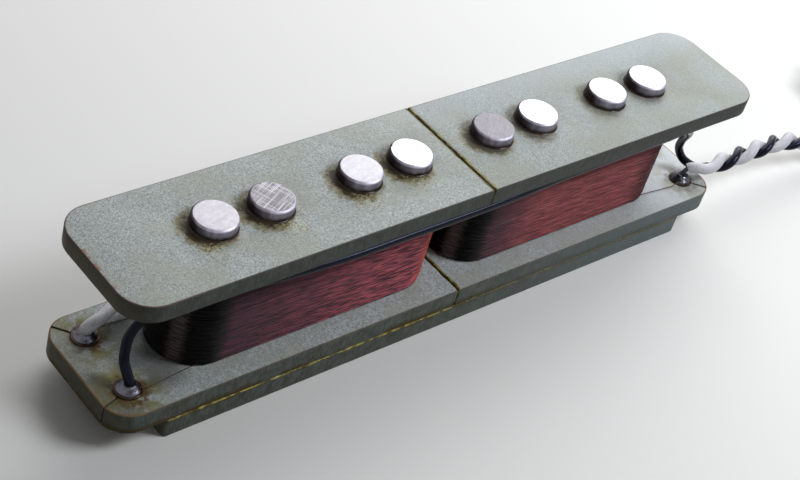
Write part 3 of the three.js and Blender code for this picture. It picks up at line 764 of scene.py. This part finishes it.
def slit_to_edge(outline, centre, degrees):
    """The outline, opened into an eyelet's hole by a slit that runs from it to the edge."""
    a = math.radians(degrees)
    c, s, w = math.cos(a), math.sin(a), SLIT_WIDTH / 2
    # From here on x runs along the slit from the hole's centre, and y across it.
    turned = [((x - centre[0]) * c + (y - centre[1]) * s, (y - centre[1]) * c - (x - centre[0]) * s)
              for x, y in outline]
    n = len(turned)

    def crossing(level):
        """Where the outline crosses one wall of the slit: the point before it, and the place."""
        for i in range(n):
            (x0, y0), (x1, y1) = turned[i], turned[(i + 1) % n]
            if x0 > 0 and x1 > 0 and y0 < level <= y1:
                k = (level - y0) / (y1 - y0)
                return i, (x0 + (x1 - x0) * k, level)

    before, first = crossing(-w)
    after, last = crossing(w)
    kept = [turned[(after + 1 + k) % n] for k in range((before - after - 1) % n + 1)]
    lip = math.asin(w / EYELET_HOLE)
    steps = 48
    hole = [(EYELET_HOLE * math.cos(b), EYELET_HOLE * math.sin(b))
            for b in (-lip - (2 * math.pi - 2 * lip) * q / steps for q in range(steps + 1))]
    return [(centre[0] + x * c - y * s, centre[1] + x * s + y * c)
            for x, y in kept + [first] + hole + [last]]


def outward(outline):
    """The way out at each of an outline's points, longer at corners."""
    ways = []
    for i, (x, y) in enumerate(outline):
        (ax, ay), (cx, cy) = outline[i - 1], outline[(i + 1) % len(outline)]
        before = Vector((y - ay, ax - x)).normalized()
        after = Vector((cy - y, x - cx)).normalized()
        way = (before + after).normalized()
        ways.append(way / max(0.5, way.dot(before)))
    return ways


def plate(name, outlines, low, high, rim, faces, replaces):
    """A flat plate with rims rounded by a radius of rim. The first outline is the outside, the
    rest are holes. faces are the materials of its flats and of its sides."""
    steps = 3
    levels = []
    for k in range(steps + 1):
        a = math.pi / 2 * k / steps
        levels.append((rim * (1 - math.sin(a)), low + rim * (1 - math.cos(a))))
    levels += [(inset, low + high - z) for inset, z in reversed(levels)]
    bm = bmesh.new()
    bottom, top = [], []
    for outline in outlines:
        ways = outward(outline)
        rings = [[bm.verts.new((x - way.x * inset, y - way.y * inset, z))
                  for (x, y), way in zip(outline, ways)] for inset, z in levels]
        for r, q in zip(rings, rings[1:]):
            for i in range(len(outline)):
                j = (i + 1) % len(outline)
                bm.faces.new((r[i], r[j], q[j], q[i])).material_index = 1
        bottom.append(rings[0])
        top.append(rings[-1])
    for loops in (bottom, top):
        edges = [bm.edges.get((loop[i], loop[(i + 1) % len(loop)]))
                 for loop in loops for i in range(len(loop))]
        made = bmesh.ops.triangle_fill(bm, edges=edges, use_beauty=True)
        for face in made["geom"]:
            if isinstance(face, bmesh.types.BMFace):
                face.material_index = 0
    bm.verts.index_update()
    shape = Shape()
    shape.verts = [tuple(v.co) for v in bm.verts]
    shape.faces = [tuple(v.index for v in f.verts) for f in bm.faces]
    shape.mats = [f.material_index for f in bm.faces]
    bm.free()
    shape.build(name, faces, replaces, sharp=40)


for side, sign in SIDES:
    inner = HALF_SPLIT * sign
    holes = [rod_hole(x) for x in ROD_X if x * sign > 0]
    outline = rounded(*sorted((inner, UPPER_HALF[0] * sign)), UPPER_HALF[1], UPPER_CORNER, inner)
    plate(f"upper_flatwork_{side}", [outline] + holes, UPPER_UNDER, UPPER_TOP, UPPER_RIM,
          [upper_face, upper_edge], [f"top_flatwork_{side}"])
    outline = rounded(*sorted((inner, LOWER_HALF[0] * sign)), LOWER_HALF[1], LOWER_CORNER, inner)
    for y, degrees in zip((EYELET_Y, -EYELET_Y), SLITS[side]):
        outline = slit_to_edge(outline, (EYELET_X * sign, y), degrees)
    plate(f"lower_flatwork_{side}", [outline] + holes, LOWER_UNDER, LOWER_TOP, LOWER_RIM,
          [lower_face, lower_edge], [f"bottom_flatwork_{side}"])
plate("base_board", [rounded(-BASE_HALF[0], BASE_HALF[0], BASE_HALF[1], BASE_CORNER, steps=5)],
      0.0, LOWER_UNDER, BASE_RIM, [base_face, lower_edge], ["base_plate"])


# Lacquer and glue

def wave(seed, u, v):
    """Smooth noise of about -1 to 1."""
    return 1.6 * noise.noise(Vector((u, v, seed)))


def split_lacquer(name, sign, low, high, reach, material, seed):
    """A run of lacquer that lines one wall of a split and laps over the plate's face. sign is
    the way from the split into the plate."""
    steps = 124
    wall = HALF_SPLIT * sign
    behind = wall + sign * 0.02
    rings = []
    for k in range(steps + 1):
        y = -reach + 2 * reach * k / steps
        inner = wall - sign * (0.07 + 0.05 * wave(seed, y * 0.9, 0.2))
        over = wall + sign * max(0.015, 0.10 + 0.16 * wave(seed + 4, y * 0.7, 1.7))
        rings.append([(behind, y, low), (inner, y, low), (inner, y, high - 0.06),
                      (inner + sign * 0.05, y, high + 0.006), (over - sign * 0.01, y, high + 0.018),
                      (over, y, high - 0.01), (behind, y, high - 0.2)])
    run = Shape()
    run.rings(rings)
    run.build(name, [material], sharp=50)


def glue_bead():
    """Glue squeezed out between the lower flatwork and the base board, all round the board."""
    outline = rounded(-BASE_HALF[0], BASE_HALF[0], BASE_HALF[1] - 0.05, BASE_CORNER, steps=4)
    line = [Vector((x, y, LOWER_UNDER - 0.03)) for x, y in outline]
    line = even(line + line[:1], 0.5)[:-1]
    rings = []
    for p, (tangent, _, _) in zip(line, frames(line, closed=True)):
        out = Vector((tangent.y, -tangent.x, 0))
        fat = 0.12 + 0.045 * wave(2.0, p.x * 0.5, p.y * 0.5) + 0.03 * wave(5.0, p.x * 1.9, p.y * 1.9)
        fat = max(0.05, fat)
        rings.append([p + out * math.cos(k) * fat + Vector((0, 0, math.sin(k) * fat * 1.4))
                      for k in angles(8)])
    bead = Shape()
    bead.rings(rings + rings[:1], ends="open")
    bead.build("glue_bead", [glue], sharp=60)


def rod_lacquer(number, x):
    """A ring of lacquer at a rod's foot, widened to its lower left as painted shadow of the rod."""
    under, outer, crest, inner, foot = [], [], [], [], []
    for a in angles(72):
        c, s = math.cos(a), math.sin(a)
        # Wider and higher on the side in the rod's shadow: painted shadow.
        shadow_side = max(0.0, math.cos(a - math.radians(205)))
        width = 0.05 + 0.20 * shadow_side * (1 - number * 0.07) + 0.07 * wave(number * 3.3, c * 2.2, s * 2.2)
        width = max(0.03, width)
        for ring, r, z in ((under, ROD_RADIUS + width * 0.9, UPPER_TOP - 0.05),
                           (outer, ROD_RADIUS + width, UPPER_TOP + 0.001),
                           (crest, ROD_RADIUS + width * 0.35, UPPER_TOP + 0.03 + 0.03 * shadow_side),
                           (inner, ROD_RADIUS - 0.01, UPPER_TOP + 0.06 + 0.1 * shadow_side),
                           (foot, ROD_RADIUS - 0.01, UPPER_TOP - 0.05)):
            ring.append((x + r * c, r * s, z))
    pool = Shape()
    pool.rings([under, outer, crest, inner, foot, under], ends="open")
    pool.build(f"rod_lacquer_{number}", [brown], sharp=60)


for level, low, high, reach, right_seed, left_seed in (
        ("upper", UPPER_UNDER, UPPER_TOP, 7.7, 3.1, 7.7),
        ("lower", LOWER_UNDER, LOWER_TOP, 7.6, 12.4, 17.9)):
    split_lacquer(f"split_lacquer_{level}_right", 1, low + 0.05, high, reach, olive, right_seed)
    split_lacquer(f"split_lacquer_{level}_left", -1, low + 0.05, high, reach, brown, left_seed)
glue_bead()
for number, x in enumerate(ROD_X, 1):
    rod_lacquer(number, x)


# Rods

# The ground end's colour, its roughness, the direction of its marks, and how scratched it is.
ROD_LOOKS = [(srgb(157, 155, 161), 0.5, 20, 0), (srgb(104, 101, 106), 0.5, 25, 0.62),
             (srgb(162, 161, 167), 0.48, 15, 0), (srgb(214, 214, 216), 0.45, 75, 0),
             (srgb(124, 122, 128), 0.52, 40, 0.06), (srgb(210, 210, 213), 0.45, 25, 0),
             (srgb(206, 206, 208), 0.45, 70, 0), (srgb(204, 204, 206), 0.45, 35, 0)]
# How far its points are inside the rod's radius and below its top, from the foot up.
ROD_PROFILE = [(ROD_RADIUS - inside, ROD_TOP - below) for inside, below in (
    (0.04, 18.8), (0, 18.75), (0, 9.35), (0, 0.27), (0.015, 0.2), (0.06, 0.13), (0.17, 0.04),
    (0.23, 0.007), (0.3, 0), (1.4, 0), (2.48, 0))]
CHIPPED, CHIP_AT, CHIP_HALF = 4, math.radians(128), 0.09  # the rod, and its nick round the rim


def chip(r, z, a):
    """A nick in the rim at the back left."""
    if z < ROD_TOP - 0.35 or r < ROD_RADIUS - 0.4:
        return 0, 0
    away = abs((a - CHIP_AT + math.pi) % (2 * math.pi) - math.pi)
    nick = max(0, 1 - away / CHIP_HALF)
    return -0.09 * nick, -0.06 * nick


for number, (x, look) in enumerate(zip(ROD_X, ROD_LOOKS), 1):
    rod = Shape()
    rod.lathe(ROD_PROFILE, (x, 0), 96, warp=chip if number == CHIPPED else None)
    rod.build(f"rod_{number}", [magnet(f"magnet_{number}", *look)], [f"rod_magnet_{number}"])


# Coils

BODY_LOW, BODY_HIGH, BODY_ROWS = LOWER_TOP + 0.03, UPPER_UNDER - 0.03, 30
BODY_RADIUS, HOLLOW_RADIUS = 4.66, 2.56
STRAND_LOW, STRAND_HIGH, STRAND_THICK = LOWER_TOP + 0.1, UPPER_UNDER - 0.1, 0.145
TURNS_UP, TURNS_BACK = 88, 34
UP_RADIUS, BACK_RADIUS = 4.74, 4.805


def stadium(cx, r):
    """Points round a coil: two half circles and two straight runs."""
    turn, straight = 24, 8
    out = []
    for sign, start in ((1, -90), (-1, 90)):
        for s in range(turn):
            a = math.radians(start + 180 * s / turn)
            out.append((cx + sign * COIL_HALF + r * math.cos(a), r * math.sin(a)))
        for s in range(straight):
            out.append((cx + sign * COIL_HALF * (1 - 2 * s / straight), r * sign))
    return out


def winding_body(side, cx, finish):
    """The wound body under the strand: hollow for the rods, and swollen a little in places."""
    outer, hollow = [], []
    for k in range(BODY_ROWS + 1):
        z = BODY_LOW + (BODY_HIGH - BODY_LOW) * k / BODY_ROWS
        swell = 0.03 * math.sin(z * 1.7 + cx) + 0.03 * math.sin(z * 4.1)
        swell -= 0.12 if k in (0, BODY_ROWS) else 0
        outer.append([(x, y, z) for x, y in stadium(cx, BODY_RADIUS + swell)])
        hollow.append([(x, y, z) for x, y in stadium(cx, HOLLOW_RADIUS)])
    body = Shape()
    body.rings([hollow[-1]] + outer[::-1] + [hollow[0]], ends="joined")
    body.build(f"winding_{side}_inner", [finish], [f"coil_core_{side}"])


def winding_strand(side, cx, finish):
    """One unbroken strand: up the coil in close turns, then back down over them in open ones."""
    spokes = []
    for x, y in stadium(cx, 1.0):
        middle = min(max(x, cx - COIL_HALF), cx + COIL_HALF)
        spokes.append((middle, x - middle, y))
    seed = cx * 3.1
    strand = []
    for k in range((TURNS_UP + TURNS_BACK) * len(spokes) + 1):
        turn = k / len(spokes)
        middle, dx, dy = spokes[k % len(spokes)]
        if turn < TURNS_UP:
            z = STRAND_LOW + (STRAND_HIGH - STRAND_LOW) * turn / TURNS_UP
            z += 0.10 * noise.noise(Vector((turn * 0.9, dx * 1.2 + seed, 0.3)))
            r = UP_RADIUS + 0.03 * noise.noise(Vector((turn * 1.7, seed, dx)))
        else:
            share = (turn - TURNS_UP) / TURNS_BACK
            z = STRAND_HIGH - (STRAND_HIGH - STRAND_LOW) * share
            z += 0.9 * noise.noise(Vector((turn * 0.8, dx * 0.8, seed)))
            r = BACK_RADIUS + 0.012 * noise.noise(Vector((turn, 0.5, seed)))
        z = min(STRAND_HIGH, max(STRAND_LOW, z))
        strand.append(Vector((middle + dx * r, dy * r, z)))
    wire = Shape()
    wire.tube(strand, STRAND_THICK / 2, 6)
    wire.build(f"winding_{side}_strand", [finish], [f"coil_turns_{side}"], sharp=80)


for side, cx, red, dark, dull, edge, glow, shade in (
        ("left", -COIL_X, srgb(168, 88, 96), srgb(62, 43, 52), 27, 0.5, 0.45, 0.0),
        ("right", COIL_X, srgb(152, 85, 86), srgb(106, 60, 64), 8, -0.9, 0.1, 0.9)):
    finish = enamel(f"enamel_{side}", red, dark, cx - COIL_HALF, dull, edge, glow, shade)
    winding_body(side, cx, finish)
    winding_strand(side, cx, finish)


# Eyelets, solder and the coils' fine wires

# Radii, and heights above the lower flatwork.
EYELET_PROFILE = [(r, LOWER_TOP + z) for r, z in (
    (0.8, -2.48), (1.0, -2.48), (1.0, 0), (1.45, 0), (1.5, 0.06), (1.505, 0.14), (1.47, 0.22),
    (1.38, 0.27), (1.27, 0.275), (1.12, 0.24), (0.98, 0.16), (0.82, 0), (0.8, -0.2))]
DROP_PROFILE = [(r, LOWER_TOP + z) for r, z in (
    (0.72, -0.7), (0.78, -0.1), (1.05, 0.2), (1.31, 0.27), (1.32, 0.32), (1.24, 0.41),
    (1.1, 0.52), (0.95, 0.65), (0.83, 0.8), (0.74, 0.92), (0.5, 0.98), (0.05, 1.0))]
FINE_RADIUS = 0.055
# From the solder across the fibre and in under the coil's last turns, at the right back.
FINE_ROUTE = [(41.3, 4.55, 5.4), (40.6, 4.72, 5.2), (40.0, 4.75, 5.12), (38.5, 4.62, 5.1),
              (36.4, 4.4, 5.1), (34.9, 4.3, 5.16), (33.6, 4.4, 5.35)]


def eyelet_rim(name, centre):
    rim = Shape()
    rim.lathe(EYELET_PROFILE, centre, 48, ends="joined")
    rim.build(f"eyelet_rim_{name}", [tinned], [f"eyelet_{name}"])


def solder_drop(name, centre, number):
    """Solder heaped in an eyelet and up its lead, unevenly where it shows."""
    def uneven(r, z, a):
        lump = noise.noise(Vector((math.cos(a) * 1.3, math.sin(a) * 1.3, number * 3.7)))
        return 0.12 * lump * (r > 0.9), 0.07 * lump * (z > LOWER_TOP + 0.25)

    drop = Shape()
    drop.lathe(DROP_PROFILE, centre, 40, warp=uneven)
    drop.build(f"solder_{name}_drop", [solder], [f"solder_{name}"], sharp=60)


def fine_wire(name, centre):
    sx, sy = math.copysign(1, centre[0]), math.copysign(1, centre[1])
    wire = Shape()
    wire.tube(smooth_route([(sx * x, sy * y, z) for x, y, z in FINE_ROUTE], 0.2), FINE_RADIUS, 8)
    wire.build(f"fine_wire_{name}", [wire_dark], [f"coil_wire_{name}"])


for number, (name, centre) in enumerate(EYELETS.items()):
    eyelet_rim(name, centre)
    solder_drop(name, centre, number)
    fine_wire(name, centre)


# Held leads

link_half = [(-42.2, 4.1, 5.72), (-42.15, 4.1, 6.15), (-41.4, 4.1, 6.6), (-40.0, 4.4, 6.8),
             (-38.2, 5.2, 6.9), (-35, 6.1, 6.85), (-27, 6.35, 6.6), (-12, 6.3, 6.5)]
link_route = link_half + [(-x, y, z) for x, y, z in reversed(link_half)]
black_route = [(-42.2, -4.1, 5.72), (-42.2, -4.1, 6.15), (-42.2, -3.5, 6.8), (-42.2, -2.75, 7.7),
               (-42.15, -2.5, 9.3), (-41.95, -2.45, 11), (-41.4, -2.85, 12.9), (-40.2, -4.1, 15.1),
               (-37.8, -5.5, 16.6), (-33.5, -6.2, 17.1), (-27, -6.7, 17.05), (-20, -7.12, 17.05),
               (-10, -7.2, 17.1), (0, -7.2, 17.1), (6, -7.05, 17.1), (12, -6.8, 17.15),
               (22, -6.6, 17.15), (31, -6.45, 17.05), (36, -5.6, 16.2), (39.2, -4.3, 13.7),
               (41.1, -2.7, 10.9), (42.2, -2.1, 8.7), (43.2, -2.6, 7.1), (44.3, -3.6, 6.35),
               (45, -4.1, 6.2), (45.7, -4.3, 6.15)]
white_route = [(42.2, -4.1, 5.72), (42.2, -4.1, 6.2), (42.6, -4.35, 6.9), (43.4, -4.85, 7.15),
               (44.7, -5.35, 6.9), (45.7, -5.45, 6.75)]


def held_lead(name, route, diameter, jacket, bare=0):
    """A lead fixed at both ends. bare is how many of its first steps are tinned wire only."""
    line = smooth_route(route, 0.25)
    lead = Shape()
    lead.tube(line[bare:], diameter / 2, 14)
    if bare:
        into_jacket, wire_radius = 3, 0.3
        lead.tube(line[:bare + into_jacket], wire_radius, 10, mat=1)
    lead.build(f"{name}_jacket", [jacket, solder], [name])


held_lead("link_lead", link_route, WHITE, link_jacket_painted_light)
held_lead("black_lead", black_route, BLACK, black_jacket)
held_lead("white_lead", white_route, WHITE, white_jacket, bare=5)


# The CAD nodes that stay, with new materials

for name, material in (("hank_tie", tie_black), ("white_lead_tip", solder), ("black_lead_tip", solder)):
    kept = bpy.data.objects[name]
    kept.data.materials.clear()
    kept.data.materials.append(material)
